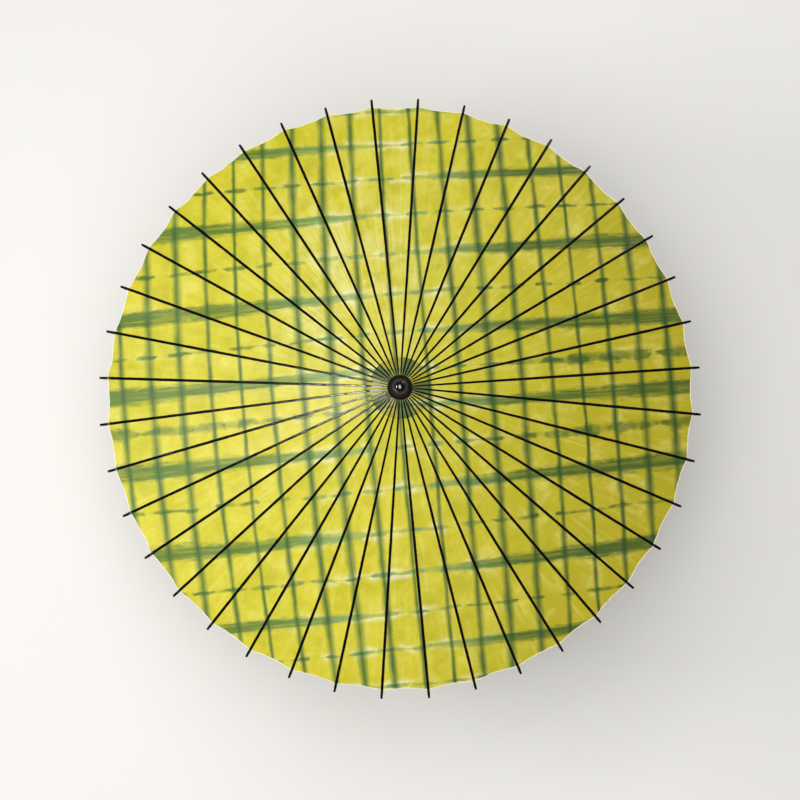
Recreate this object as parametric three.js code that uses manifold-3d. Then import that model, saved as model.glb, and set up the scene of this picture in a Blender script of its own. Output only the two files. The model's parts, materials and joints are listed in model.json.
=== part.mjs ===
// Oil paper umbrella: forty bamboo ribs hinged in a notched hub, opened by forty struts
// that fan out of a notched runner, with a dyed paper canopy pasted over the ribs.
// Millimetres, +Z up along the shaft, origin at the bottom end of the handle.
import * as THREE from "three";
import { mergeVertices } from "three/addons/utils/BufferGeometryUtils.js";
import Module from "manifold-3d";

const wasm = await Module();
wasm.setup();

// ---- driving dimensions ---------------------------------------------------------------

const RIB_COUNT = 40;
const GAP = 0.3;
const OVERLAP = 1;

// The opening linkage, measured between pivots.
const RIB_LENGTH = 485;
const RIB_TO_STRUT = 195;
const STRUT_LENGTH = 225;
const PIVOT_RADIUS = 18.4;
const OPEN_SLOPE = THREE.MathUtils.degToRad(22);
const HUB_PIVOT_Z = 752;

// Ribs: the top face is straight, the bottom face and the width follow these stations.
const RIB_TOP = 1.5;
const RIB_STATIONS = [
  { at: 7, width: 1.7, bottom: 1.5 },
  { at: 60, width: 2.6, bottom: 2.4 },
  { at: RIB_TO_STRUT, width: 3.5, bottom: 2.7 },
  { at: 300, width: 4.2, bottom: 2.4 },
  { at: 476, width: 4.2, bottom: 1.5 },
  { at: RIB_LENGTH, width: 3.4, bottom: 0.9 },
];
const RIB_TIP_TOP = 1.1;
const ROOT_ARC_STEPS = 6;

// Struts: plain tapered sticks that stop short of the ribs.
const STRUT_HEIGHT = 2.8;
const STRUT_ROOT_WIDTH = 1.7;
const STRUT_END_WIDTH = 2.6;
const STRUT_ROOT_OVERHANG = 0.4;
const STRUT_END_GAP = 4.8;
const TIE_RADIUS = 21.6;
const TIE_THREAD = 0.7;
const THREAD_SIDES = 6;

// Notched discs of the hub and the runner, and the hub's head inside the paper's edge.
const RUNNER_DISC_RADIUS = 20.5;
const HUB_DISC_RADIUS = 19.8;
const NOTCH_ROOT_RADIUS = 16.6;
const NOTCH_WIDTH = 2.3;
const HUB_DISC_NEAR = 0.9;
const RUNNER_DISC_NEAR = 4.5;
const DISC_FAR = 6;
const NECK_RADIUS = 14;
const HUB_NECK = 12;
const HEAD_FOOT_RISE = 1.8;
const HEAD_BAND_RISE = 4.9;
const HEAD_RISE = 7.4;
const HEAD_FOOT_RADIUS = 17.2;
const HEAD_TOP_RADIUS = 15;
const RUNNER_NECK = 26;
const RUNNER_LIP = 1.2;
const RUNNER_SHOULDER_RADIUS = 15;

// Shaft, finial and handle.
const SHAFT_RADIUS = 8;
const BORE_RADIUS = 8.4;
const SHAFT_ABOVE_PIVOT = 14;
const FINIAL_RADIUS = 12.8;
const FINIAL_SKIRT = 1.5;
const FINIAL_SOCKET = 6.9;
const DOME_STEPS = 8;
const END_CAP_RADIUS = 10.8;
const END_CAP_HEIGHT = 8;
const END_CAP_EDGE = 1.5;
const GRIP_RADIUS = 11.4;
const GRIP_WAIST = 10.6;
const GRIP_TOP_Z = 205;
const GRIP_EDGE = 1.4;
const COLLAR_RADIUS = 10.8;
const COLLAR_HEIGHT = 7;
const COLLAR_EDGE = 1;

// Pins and the spring catch under the runner.
const PIN_SIDES = 12;
const HUB_PIN_RADIUS = 1.2;
const HUB_PIN_LENGTH = 26;
const HUB_PIN_DROP = 12;
const CATCH_PIN_RADIUS = 1;
const CATCH_PIN_LENGTH = 14;
const CATCH_WIDTH = 4.2;
const CATCH_PIVOT_X = 3;
const CATCH_EYE = 2.6;
const CATCH_REACH = 12.4;
const CATCH_RISE = 44.2;
const CATCH_CLEARANCE = 0.8;
const CATCH_TIP_THICKNESS = 3.4;
const CATCH_TIP_HEIGHT = 4.5;
const CATCH_SLOT_INNER_X = -0.2;
const CATCH_SLOT_SPARE = 5;
const CATCH_EYE_STEPS = 8;

// Paper canopy, its centre disc and the thread in its hem.
const PAPER_INNER_RADIUS = 17.9;
const PAPER_OUTER_RADIUS = 453.6;
const PAPER_THICKNESS = 0.3;
const CENTRE_DISC_RADIUS = 46;
const CENTRE_DISC_THICKNESS = 0.3;
const HEM_THREAD = 0.5;
const HEM_RADIUS = 454.6;

// ---- derived places -------------------------------------------------------------------

const RIB_STEP = (2 * Math.PI) / RIB_COUNT;
const FIRST_RIB = RIB_STEP / 2;
const strutJointRadius = PIVOT_RADIUS + RIB_TO_STRUT * Math.cos(OPEN_SLOPE);
const strutJointZ = HUB_PIVOT_Z - RIB_TO_STRUT * Math.sin(OPEN_SLOPE);
const strutAcross = strutJointRadius - PIVOT_RADIUS;
const strutRise = Math.sqrt(STRUT_LENGTH ** 2 - strutAcross ** 2);
const STRUT_SLOPE = Math.atan2(strutRise, strutAcross);
const RUNNER_PIVOT_Z = strutJointZ - strutRise;
const RUNNER_BOTTOM_Z = RUNNER_PIVOT_Z - RUNNER_DISC_NEAR - RUNNER_NECK;
const CATCH_PIVOT_Z = RUNNER_BOTTOM_Z - CATCH_CLEARANCE - CATCH_RISE;
const HUB_PIN_Z = HUB_PIVOT_Z - HUB_PIN_DROP;
const HUB_TOP_Z = HUB_PIVOT_Z + HEAD_RISE;

// ---- materials ------------------------------------------------------------------------

function finish(color, roughness, metalness = 0) {
  return new THREE.MeshStandardMaterial({ color, roughness, metalness });
}

const blackLacquer = () => finish(0x120e0c, 0.18);
const dyedBamboo = () => finish(0x1c140f, 0.35);
const honeyBamboo = () => finish(0xa9793f, 0.5);
const hubWood = () => finish(0x14120c, 0.5);
const oiledPaper = () => finish(0xd2c83c, 0.35);
const hemThread = () => finish(0xeee6cf, 0.7);
const dyedThread = () => finish(0x14100c, 0.6);
const rattan = () => finish(0x3a2213, 0.45);

// ---- solids ---------------------------------------------------------------------------

// A closed geometry with shared corners and no flat triangles, as a solid for booleans.
function toSolid(geometry) {
  const bare = geometry.clone();
  bare.deleteAttribute("normal");
  bare.deleteAttribute("uv");
  const welded = mergeVertices(bare, 1e-4);
  const corners = [];
  const index = welded.index.array;
  for (let i = 0; i < index.length; i += 3) {
    const [a, b, c] = [index[i], index[i + 1], index[i + 2]];
    if (a !== b && b !== c && c !== a) corners.push(a, b, c);
  }
  return new wasm.Manifold(
    new wasm.Mesh({
      numProp: 3,
      vertProperties: new Float32Array(welded.attributes.position.array),
      triVerts: new Uint32Array(corners),
    }),
  );
}

function toGeometry(solid) {
  const mesh = solid.getMesh();
  const geometry = new THREE.BufferGeometry();
  geometry.setAttribute("position", new THREE.BufferAttribute(mesh.vertProperties, 3));
  geometry.setIndex(new THREE.BufferAttribute(mesh.triVerts, 1));
  geometry.computeVertexNormals();
  return geometry;
}

// Turns an outline of [radius, z] points about Z. The outline runs anticlockwise, and one
// that doesn't start on the axis is closed. One corner of each ring lies at startAzimuth.
function revolve(outline, segments, startAzimuth = 0) {
  const points = outline.map(([r, z]) => new THREE.Vector2(r, z));
  if (outline[0][0] > 0) points.push(points[0].clone());
  const geometry = new THREE.LatheGeometry(points, segments, startAzimuth + Math.PI / 2);
  return geometry.rotateX(Math.PI / 2);
}

// A round rod along Z from low to high.
function rod(radius, low, high, segments) {
  return revolve([[0, low], [radius, low], [radius, high], [0, high]], segments);
}

// A round rod across the shaft, centred at x and z, that runs along X or Y.
function crossRod(radius, length, axis, x, z) {
  const geometry = rod(radius, -length / 2, length / 2, PIN_SIDES);
  if (axis === "x") geometry.rotateY(Math.PI / 2);
  else geometry.rotateX(Math.PI / 2);
  return geometry.translate(x, 0, z);
}

// A plate of the given outline, standing in the XZ plane and centred on y = 0.
function standingPlate(outline, thickness) {
  const shape = new THREE.Shape(outline.map(([x, z]) => new THREE.Vector2(x, z)));
  const geometry = new THREE.ExtrudeGeometry(shape, { depth: thickness, bevelEnabled: false });
  return geometry.translate(0, 0, -thickness / 2).rotateX(Math.PI / 2);
}

// A ring of thread of the given section, with one corner over each rib.
function threadRing(radius, z, section) {
  const outline = [];
  for (let k = 0; k < THREAD_SIDES; k += 1) {
    const turn = (k * 2 * Math.PI) / THREAD_SIDES;
    outline.push([radius + section * Math.cos(turn), z + section * Math.sin(turn)]);
  }
  return revolve(outline, RIB_COUNT, FIRST_RIB);
}

// A disc from low to high with an open notch for each rib or strut.
function notchedDisc(radius, low, high) {
  const outline = [];
  const half = NOTCH_WIDTH / 2;
  const outerTurn = Math.asin(half / radius);
  const rootTurn = Math.asin(half / NOTCH_ROOT_RADIUS);
  for (let k = 0; k < RIB_COUNT; k += 1) {
    const middle = FIRST_RIB + k * RIB_STEP;
    const corners = [
      [radius, middle - outerTurn],
      [NOTCH_ROOT_RADIUS, middle - rootTurn],
      [NOTCH_ROOT_RADIUS, middle + rootTurn],
      [radius, middle + outerTurn],
    ];
    for (const [r, turn] of corners) {
      outline.push(new THREE.Vector2(r * Math.cos(turn), r * Math.sin(turn)));
    }
  }
  const shape = new THREE.Shape(outline);
  const geometry = new THREE.ExtrudeGeometry(shape, { depth: high - low, bevelEnabled: false });
  return geometry.translate(0, 0, low);
}

// ---- moving frame: ribs, struts and runner --------------------------------------------

// Width of a rib at a distance from its pivot.
function ribWidth(distance) {
  const first = RIB_STATIONS[0];
  if (distance <= first.at) return first.width;
  for (let k = 1; k < RIB_STATIONS.length; k += 1) {
    const [a, b] = [RIB_STATIONS[k - 1], RIB_STATIONS[k]];
    if (distance <= b.at) {
      return THREE.MathUtils.lerp(a.width, b.width, (distance - a.at) / (b.at - a.at));
    }
  }
  return RIB_STATIONS.at(-1).width;
}

// One rib along +X with its pivot at the origin: a round root, then a tapering stick.
function ribGeometry() {
  const outline = [];
  for (let k = 0; k <= ROOT_ARC_STEPS; k += 1) {
    const turn = Math.PI / 2 + (k * Math.PI) / ROOT_ARC_STEPS;
    outline.push(new THREE.Vector2(RIB_TOP * Math.cos(turn), RIB_TOP * Math.sin(turn)));
  }
  for (const station of RIB_STATIONS) {
    outline.push(new THREE.Vector2(station.at, -station.bottom));
  }
  for (const station of [...RIB_STATIONS].reverse()) {
    const top = station.at === RIB_LENGTH ? RIB_TIP_TOP : RIB_TOP;
    outline.push(new THREE.Vector2(station.at, top));
  }
  const shape = new THREE.Shape(outline);
  const geometry = new THREE.ExtrudeGeometry(shape, { depth: 1, bevelEnabled: false });
  const place = geometry.attributes.position;
  for (let i = 0; i < place.count; i += 1) {
    place.setZ(i, (place.getZ(i) - 0.5) * ribWidth(place.getX(i)));
  }
  return geometry.rotateX(Math.PI / 2);
}

// One strut along +X from just behind its pivot, tapering in width.
function strutGeometry() {
  const start = -STRUT_ROOT_OVERHANG;
  const end = STRUT_LENGTH - STRUT_END_GAP;
  const geometry = new THREE.BoxGeometry(end - start, 1, STRUT_HEIGHT);
  geometry.translate((start + end) / 2, 0, 0);
  const place = geometry.attributes.position;
  for (let i = 0; i < place.count; i += 1) {
    const width = place.getX(i) > 0 ? STRUT_END_WIDTH : STRUT_ROOT_WIDTH;
    place.setY(i, place.getY(i) * width);
  }
  return geometry;
}

// All the struts, held together by the thread that ties their roots to the runner.
function strutCrown() {
  const tieZ = RUNNER_PIVOT_Z + (TIE_RADIUS - PIVOT_RADIUS) * Math.tan(STRUT_SLOPE);
  let crown = toSolid(threadRing(TIE_RADIUS, tieZ, TIE_THREAD));
  for (let k = 0; k < RIB_COUNT; k += 1) {
    const strut = strutGeometry()
      .rotateY(-STRUT_SLOPE)
      .translate(PIVOT_RADIUS, 0, RUNNER_PIVOT_Z)
      .rotateZ(FIRST_RIB + k * RIB_STEP);
    crown = crown.add(toSolid(strut));
  }
  return toGeometry(crown);
}

function runner() {
  const discLow = RUNNER_PIVOT_Z - RUNNER_DISC_NEAR;
  const neck = revolve(
    [
      [0, RUNNER_BOTTOM_Z],
      [NECK_RADIUS - RUNNER_LIP, RUNNER_BOTTOM_Z],
      [NECK_RADIUS, RUNNER_BOTTOM_Z + RUNNER_LIP],
      [NECK_RADIUS, discLow - 2 * RUNNER_LIP],
      [RUNNER_SHOULDER_RADIUS, discLow + RUNNER_LIP],
      [0, discLow + RUNNER_LIP],
    ],
    RIB_COUNT,
  );
  const disc = notchedDisc(RUNNER_DISC_RADIUS, discLow, RUNNER_PIVOT_Z + DISC_FAR);
  const boreLow = RUNNER_BOTTOM_Z - OVERLAP;
  const boreHigh = RUNNER_PIVOT_Z + DISC_FAR + OVERLAP;
  const bore = rod(BORE_RADIUS, boreLow, boreHigh, RIB_COUNT);
  return toGeometry(toSolid(disc).add(toSolid(neck)).subtract(toSolid(bore)));
}

// ---- fixed frame: hub, shaft, finial, pins and handle ---------------------------------

function topHub() {
  const discHigh = HUB_PIVOT_Z + HUB_DISC_NEAR;
  const discLow = HUB_PIVOT_Z - DISC_FAR;
  const low = discLow - HUB_NECK;
  const coreRadius = NOTCH_ROOT_RADIUS - OVERLAP;
  const core = revolve(
    [
      [0, low],
      [NECK_RADIUS, low],
      [NECK_RADIUS, discLow + OVERLAP],
      [coreRadius, discLow + OVERLAP],
      [coreRadius, HUB_PIVOT_Z + HEAD_FOOT_RISE],
      [HEAD_FOOT_RADIUS, HUB_PIVOT_Z + HEAD_FOOT_RISE],
      [HEAD_FOOT_RADIUS, HUB_PIVOT_Z + HEAD_BAND_RISE],
      [HEAD_TOP_RADIUS, HUB_TOP_Z],
      [0, HUB_TOP_Z],
    ],
    RIB_COUNT,
  );
  const bore = rod(BORE_RADIUS, low - OVERLAP, HUB_TOP_Z + OVERLAP, RIB_COUNT);
  const pinHole = crossRod(HUB_PIN_RADIUS + GAP, 4 * NECK_RADIUS, "x", 0, HUB_PIN_Z);
  const disc = toSolid(notchedDisc(HUB_DISC_RADIUS, discLow, discHigh));
  return toGeometry(disc.add(toSolid(core)).subtract(toSolid(bore)).subtract(toSolid(pinHole)));
}

function shaft() {
  const low = END_CAP_HEIGHT + GAP;
  const high = HUB_PIVOT_Z + SHAFT_ABOVE_PIVOT;
  const slotWidth = CATCH_WIDTH + 2 * GAP;
  const slotLow = CATCH_PIVOT_Z - CATCH_SLOT_SPARE;
  const slotHigh = RUNNER_BOTTOM_Z + CATCH_SLOT_SPARE;
  const slotDepth = 2 * SHAFT_RADIUS;
  const slot = new THREE.BoxGeometry(slotDepth, slotWidth, slotHigh - slotLow);
  slot.translate(CATCH_SLOT_INNER_X + slotDepth / 2, 0, (slotLow + slotHigh) / 2);
  const across = 4 * SHAFT_RADIUS;
  const catchHole = crossRod(CATCH_PIN_RADIUS + GAP, across, "y", CATCH_PIVOT_X, CATCH_PIVOT_Z);
  const hubHole = crossRod(HUB_PIN_RADIUS + GAP, across, "x", 0, HUB_PIN_Z);
  const solid = toSolid(rod(SHAFT_RADIUS, low, high, RIB_COUNT))
    .subtract(toSolid(slot))
    .subtract(toSolid(catchHole))
    .subtract(toSolid(hubHole));
  return toGeometry(solid);
}

function finial() {
  const low = HUB_TOP_Z + GAP;
  const domeLow = low + FINIAL_SKIRT;
  const outline = [
    [BORE_RADIUS, low + FINIAL_SOCKET],
    [BORE_RADIUS, low],
    [FINIAL_RADIUS, low],
  ];
  for (let k = 0; k <= DOME_STEPS; k += 1) {
    const turn = (k * Math.PI) / 2 / DOME_STEPS;
    const radius = k === DOME_STEPS ? 0 : FINIAL_RADIUS * Math.cos(turn);
    outline.push([radius, domeLow + FINIAL_RADIUS * Math.sin(turn)]);
  }
  return revolve([[0, low + FINIAL_SOCKET], ...outline], RIB_COUNT);
}

function catchLeaf() {
  const tipZ = CATCH_PIVOT_Z + CATCH_RISE;
  const innerX = CATCH_REACH - CATCH_TIP_THICKNESS;
  const outline = [];
  for (let k = 0; k <= CATCH_EYE_STEPS; k += 1) {
    const turn = Math.PI + (k * Math.PI) / CATCH_EYE_STEPS;
    outline.push([
      CATCH_PIVOT_X + CATCH_EYE * Math.cos(turn),
      CATCH_PIVOT_Z + CATCH_EYE * Math.sin(turn),
    ]);
  }
  outline.push([CATCH_REACH, tipZ - CATCH_TIP_HEIGHT]);
  outline.push([CATCH_REACH, tipZ]);
  outline.push([innerX, tipZ]);
  const leaf = toSolid(standingPlate(outline, CATCH_WIDTH));
  const hole = crossRod(
    CATCH_PIN_RADIUS + GAP,
    2 * CATCH_WIDTH,
    "y",
    CATCH_PIVOT_X,
    CATCH_PIVOT_Z,
  );
  return toGeometry(leaf.subtract(toSolid(hole)));
}

// A round sleeve on the shaft from low to high with softened edges and a slight waist.
function sleeve(low, high, radius, waist, edge) {
  return revolve(
    [
      [BORE_RADIUS, low],
      [radius - edge, low],
      [radius, low + edge],
      [waist, (low + high) / 2],
      [radius, high - edge],
      [radius - edge, high],
      [BORE_RADIUS, high],
    ],
    RIB_COUNT,
  );
}

function endCap() {
  return revolve(
    [
      [0, 0],
      [END_CAP_RADIUS - END_CAP_EDGE, 0],
      [END_CAP_RADIUS, END_CAP_EDGE],
      [END_CAP_RADIUS, END_CAP_HEIGHT],
      [0, END_CAP_HEIGHT],
    ],
    RIB_COUNT,
  );
}

// ---- paper ----------------------------------------------------------------------------

// Height of a point that lies a distance above the pivot line of the open ribs.
function overRibs(radius, above) {
  const drop = (radius - PIVOT_RADIUS) * Math.tan(OPEN_SLOPE);
  return HUB_PIVOT_Z - drop + above / Math.cos(OPEN_SLOPE);
}

// A thin cone of paper between two radii, creased over each rib.
function paperCone(inner, outer, under, thickness) {
  const outline = [
    [inner, overRibs(inner, under)],
    [outer, overRibs(outer, under)],
    [outer, overRibs(outer, under + thickness)],
    [inner, overRibs(inner, under + thickness)],
  ];
  return revolve(outline, RIB_COUNT, FIRST_RIB);
}

// ---- assembly -------------------------------------------------------------------------

const group = new THREE.Group();

function add(name, geometry, material, parent = group) {
  const mesh = new THREE.Mesh(geometry, material);
  mesh.name = name;
  parent.add(mesh);
  return mesh;
}

for (let k = 0; k < RIB_COUNT; k += 1) {
  const spoke = new THREE.Group();
  spoke.position.z = HUB_PIVOT_Z;
  spoke.rotation.z = FIRST_RIB + k * RIB_STEP;
  group.add(spoke);
  const name = "rib_" + String(k + 1).padStart(2, "0");
  const rib = add(name, ribGeometry(), dyedBamboo(), spoke);
  rib.position.x = PIVOT_RADIUS;
  rib.rotation.y = OPEN_SLOPE;
}

const canopyUnder = RIB_TOP + GAP;
const discUnder = canopyUnder + PAPER_THICKNESS + GAP;
const hemUnder = canopyUnder + HEM_THREAD;
const grip = sleeve(END_CAP_HEIGHT + GAP, GRIP_TOP_Z, GRIP_RADIUS, GRIP_WAIST, GRIP_EDGE);
const collarLow = GRIP_TOP_Z + GAP;
const collarHigh = collarLow + COLLAR_HEIGHT;
const collar = sleeve(collarLow, collarHigh, COLLAR_RADIUS, COLLAR_RADIUS, COLLAR_EDGE);
const hubTieRadius = HEAD_FOOT_RADIUS + GAP + TIE_THREAD;
const hubTieUnder = discUnder + CENTRE_DISC_THICKNESS + GAP;
const hubTieZ = overRibs(hubTieRadius, hubTieUnder) + TIE_THREAD;

add("shaft", shaft(), blackLacquer());
add("top_hub", topHub(), hubWood());
add("finial", finial(), blackLacquer());
add("hub_thread", threadRing(hubTieRadius, hubTieZ, TIE_THREAD), dyedThread());
add("hub_pin", crossRod(HUB_PIN_RADIUS, HUB_PIN_LENGTH, "x", 0, HUB_PIN_Z), honeyBamboo());
add("runner", runner(), hubWood());
add("strut_crown", strutCrown(), honeyBamboo());
add("catch_leaf", catchLeaf(), honeyBamboo());
add(
  "catch_pin",
  crossRod(CATCH_PIN_RADIUS, CATCH_PIN_LENGTH, "y", CATCH_PIVOT_X, CATCH_PIVOT_Z),
  honeyBamboo(),
);
add(
  "canopy",
  paperCone(PAPER_INNER_RADIUS, PAPER_OUTER_RADIUS, canopyUnder, PAPER_THICKNESS),
  oiledPaper(),
);
add(
  "centre_disc",
  paperCone(PAPER_INNER_RADIUS, CENTRE_DISC_RADIUS, discUnder, CENTRE_DISC_THICKNESS),
  oiledPaper(),
);
add("rim_thread", threadRing(HEM_RADIUS, overRibs(HEM_RADIUS, hemUnder), HEM_THREAD), hemThread());
add("grip", grip, rattan());
add("grip_collar", collar, blackLacquer());
add("end_cap", endCap(), blackLacquer());

export default group;
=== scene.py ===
"""Oil paper umbrella: dyed paper gores, lacquered ribs, struts, threads and a wound grip round the frame."""

import json
import math

import bmesh
import bpy
import numpy as np
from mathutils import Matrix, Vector, noise


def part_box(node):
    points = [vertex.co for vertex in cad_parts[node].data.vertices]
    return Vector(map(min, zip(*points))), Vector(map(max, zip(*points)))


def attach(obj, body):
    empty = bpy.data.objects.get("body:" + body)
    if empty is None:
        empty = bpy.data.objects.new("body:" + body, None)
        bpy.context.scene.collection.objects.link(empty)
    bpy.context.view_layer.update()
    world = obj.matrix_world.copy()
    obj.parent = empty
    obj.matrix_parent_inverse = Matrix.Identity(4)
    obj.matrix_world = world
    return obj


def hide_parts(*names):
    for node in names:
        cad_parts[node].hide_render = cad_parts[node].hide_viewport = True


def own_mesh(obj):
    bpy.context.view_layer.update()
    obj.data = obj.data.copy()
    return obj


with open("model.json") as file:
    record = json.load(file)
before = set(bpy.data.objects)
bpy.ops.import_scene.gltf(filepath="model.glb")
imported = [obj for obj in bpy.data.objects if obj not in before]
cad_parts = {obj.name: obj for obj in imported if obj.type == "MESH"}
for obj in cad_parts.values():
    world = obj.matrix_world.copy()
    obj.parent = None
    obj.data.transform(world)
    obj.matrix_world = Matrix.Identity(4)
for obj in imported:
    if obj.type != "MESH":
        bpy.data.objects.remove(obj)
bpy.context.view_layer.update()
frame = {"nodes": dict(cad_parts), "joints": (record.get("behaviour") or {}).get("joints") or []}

# ---- places that the frame gives, in metres ----------------------------------------------

RIB_JOINTS = [joint for joint in frame["joints"] if joint["child"].startswith("rib_")]
HINGES = sorted(RIB_JOINTS, key=lambda joint: joint["child"])
RIB_COUNT = len(HINGES)
HALF_GORE = math.pi / RIB_COUNT
PIVOT = Vector(HINGES[0]["pos_m"])
PIVOT_RADIUS = PIVOT.xy.length
PIVOT_Z = PIVOT.z
STRUT_ROOT_DEPTH = 0.006
RUNNER_PIVOT_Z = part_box("runner")[1].z - STRUT_ROOT_DEPTH
GRIP_LOW, GRIP_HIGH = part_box("grip")
UP = Vector((0, 0, 1))

# ---- driving dimensions, in metres -------------------------------------------------------

OPEN_SLOPE = math.radians(22)
RIB_LENGTH = 0.485
RIB_WIDTH = 0.0035
RIB_TOP = 0.0015
RIB_BOTTOM = -0.0027
RIB_TIP_TOP = 0.0011
RIB_TAPER_FROM = 0.476
STRUT_AT = 0.195
STRUT_LENGTH = 0.225
STRUT_REACH = STRUT_AT * math.cos(OPEN_SLOPE)
STRUT_SLOPE = math.acos(STRUT_REACH / STRUT_LENGTH)

PAPER_INNER = 0.0173
PAPER_OUTER = 0.4534
PAPER_UNDER = 0.0018
PAPER_THICKNESS = 0.0003
DISC_RADIUS = 0.046
DISC_STEP = 0.0003
HEAD_RADIUS = 0.0172
HEM_BEAD = 0.00078
VALLEY = 0.0024
VALLEY_GROWTH = 1.3
RIM_SAG = 0.0016
RIM_WAVE = 0.0013
WRINKLE = 0.00028

LACQUER_HEIGHT = 0.00055

# The dye. Stripes are counted along x and bands along y, and both bend a little across the paper.
# Left, right, above and below are as the camera sees the paper: -X, +X, +Y and -Y.
STRIPE_PITCH = 0.0472
STRIPE_LEAN = 0.066
STRIPE_BEND = 0.035
STRIPE_FLARE = 0.15
STRIPE_OFFSET = 0.08
STRIPES_LEFT = 5
STRIPE_CYCLE = 5.5
STRIPE_HALF = 0.005
STRIPE_SWING = 0.0017
FOLD_LINE = 0.0023
BAND_PITCH = 0.0599
BAND_RISE = 0.072
BAND_TWIST = 0.064
BAND_DROOP = 0.033
BAND_WAVE = 0.0044
BAND_WAVE_LENGTH = 0.4
BAND_HALF = 0.0032
BAND_FLARE = 0.0225
DASH_HALF = 0.0008
DASH_SWELL = 0.0036
SMUDGE_HALF = 0.0062
FRINGE_WIDTH = 0.011
BANDS_ABOVE = 6.49
MIDDLE_BAND = 7
LOBES = 5.0
LOBE_TURN = math.radians(3)
# Where the painted glare patch sits on the paper: left of and above the hub.
GLARE_LEFT = 0.07
GLARE_UP = 0.17

# ---- meshes ------------------------------------------------------------------------------

SHARP_EDGE = math.radians(40)


def level_direction(azimuth):
    """The level unit vector from the shaft's axis towards azimuth."""
    return Vector((math.cos(azimuth), math.sin(azimuth), 0))


def local_axes(azimuth, slope):
    """Unit vectors along, across and above a stick that leaves the shaft at azimuth and drops by slope."""
    radial = level_direction(azimuth)
    along = radial * math.cos(slope) - UP * math.sin(slope)
    across = UP.cross(radial)
    return along, across, along.cross(across)


def in_axes(origin, axes, points):
    """Points given as (along, across, above) rows, in the row frame."""
    return np.array(origin) + np.asarray(points, float) @ np.array([list(a) for a in axes])


def make_mesh(name, points, faces, materials, face_materials=None):
    mesh = bpy.data.meshes.new(name)
    mesh.from_pydata([tuple(p) for p in points], [], faces)
    for material in materials:
        mesh.materials.append(material)
    if face_materials is not None:
        mesh.polygons.foreach_set("material_index", face_materials)
    mesh.polygons.foreach_set("use_smooth", [True] * len(mesh.polygons))
    piece = bpy.data.objects.new(name, mesh)
    bpy.context.scene.collection.objects.link(piece)
    return piece


def ring_faces(rings, sides, start=0, closed=False):
    """Quads round a tube of rings of points, with a face on each end, or quads that close it on itself."""
    faces = []
    for i in range(rings - 1):
        for j in range(sides):
            k = (j + 1) % sides
            low, high = start + i * sides, start + (i + 1) * sides
            faces.append((low + j, low + k, high + k, high + j))
    last = start + (rings - 1) * sides
    if closed:
        for j in range(sides):
            k = (j + 1) % sides
            faces.append((last + j, last + k, start + k, start + j))
    else:
        faces.append(tuple(start + j for j in reversed(range(sides))))
        faces.append(tuple(last + j for j in range(sides)))
    return faces


def clean_up(piece):
    """Turns every face outwards, and keeps the shading from running over sharp edges."""
    shape = bmesh.new()
    shape.from_mesh(piece.data)
    bmesh.ops.recalc_face_normals(shape, faces=shape.faces)
    for edge in shape.edges:
        edge.smooth = edge.calc_face_angle(0) < SHARP_EDGE
    shape.to_mesh(piece.data)
    shape.free()


def smoothstep(low, high, value):
    t = np.clip((value - low) / (high - low), 0, 1)
    return t * t * (3 - 2 * t)


# ---- node graphs -------------------------------------------------------------------------


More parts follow.
